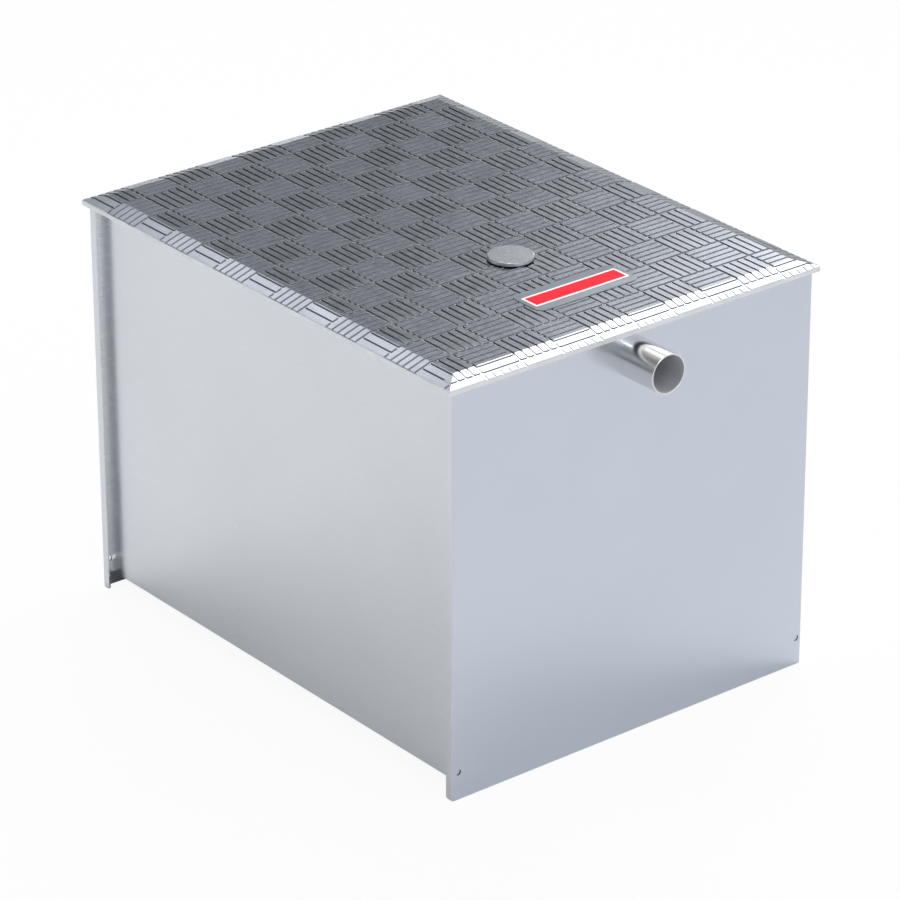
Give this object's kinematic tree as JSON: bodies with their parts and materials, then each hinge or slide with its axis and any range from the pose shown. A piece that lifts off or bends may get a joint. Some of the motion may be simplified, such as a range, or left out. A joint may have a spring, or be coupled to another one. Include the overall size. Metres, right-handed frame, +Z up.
{
  "type": "grease trap",
  "caption": "Under-sink grease trap: folded stainless tank on end-panel feet, tread-plate lid with a flat turn knob, plain pipe stubs, solids basket, baffle, weir and outlet hood inside.",
  "frame": {"origin": "on the floor under the middle of the tank, at the bottom centre of the bounding box", "axes": "+X along the tank towards the inlet stub, +Y across the tank, +Z up"},
  "size_m": [0.622, 0.425, 0.4116],
  "materials": {
    "tank_steel": "satin mill finish",
    "pipe_steel": "polished",
    "tread_plate": "rolled tread plate, bright",
    "seal_rubber": "matt",
    "knob_finish": "satin",
    "hardware_steel": "satin",
    "basket_steel": "satin",
    "label_margin": "clear film margin",
    "label_print": "gloss, red field in a white border"
  },
  "bodies": {
    "tank": {"inlet_end_panel": "tank_steel", "outlet_end_panel": "tank_steel", "tank_wrap": "tank_steel", "inlet_stub": "pipe_steel", "outlet_stub": "pipe_steel", "lid_plate": "tread_plate", "lid_gasket": "seal_rubber", "knob_washer": "seal_rubber", "clamp_bar": "hardware_steel", "clamp_nut": "hardware_steel", "bar_brackets": "hardware_steel", "basket_body": "basket_steel", "basket_floor": "basket_steel", "bail_ears": "hardware_steel", "basket_rails": "hardware_steel", "underflow_baffle": "tank_steel", "baffle_guides": "hardware_steel", "overflow_weir": "tank_steel", "outlet_hood": "tank_steel", "label_backing": "label_margin", "label_face": "label_print"},
    "knob": {"lid_knob": "knob_finish", "knob_stud": "hardware_steel", "stud_clip": "hardware_steel"},
    "bail": {"basket_bail": "hardware_steel"}
  },
  "joints": [
    {"name": "knob_turn", "type": "hinge", "parent": "tank", "child": "knob", "pos_m": [0.0945, 0, 0.4], "axis": [0, 0, 1], "continuous": true},
    {"name": "bail_swing", "type": "hinge", "parent": "tank", "child": "bail", "pos_m": [0.179, 0, 0.3461], "axis": [0, 1, 0], "range_deg": [0, 180]}
  ]
}
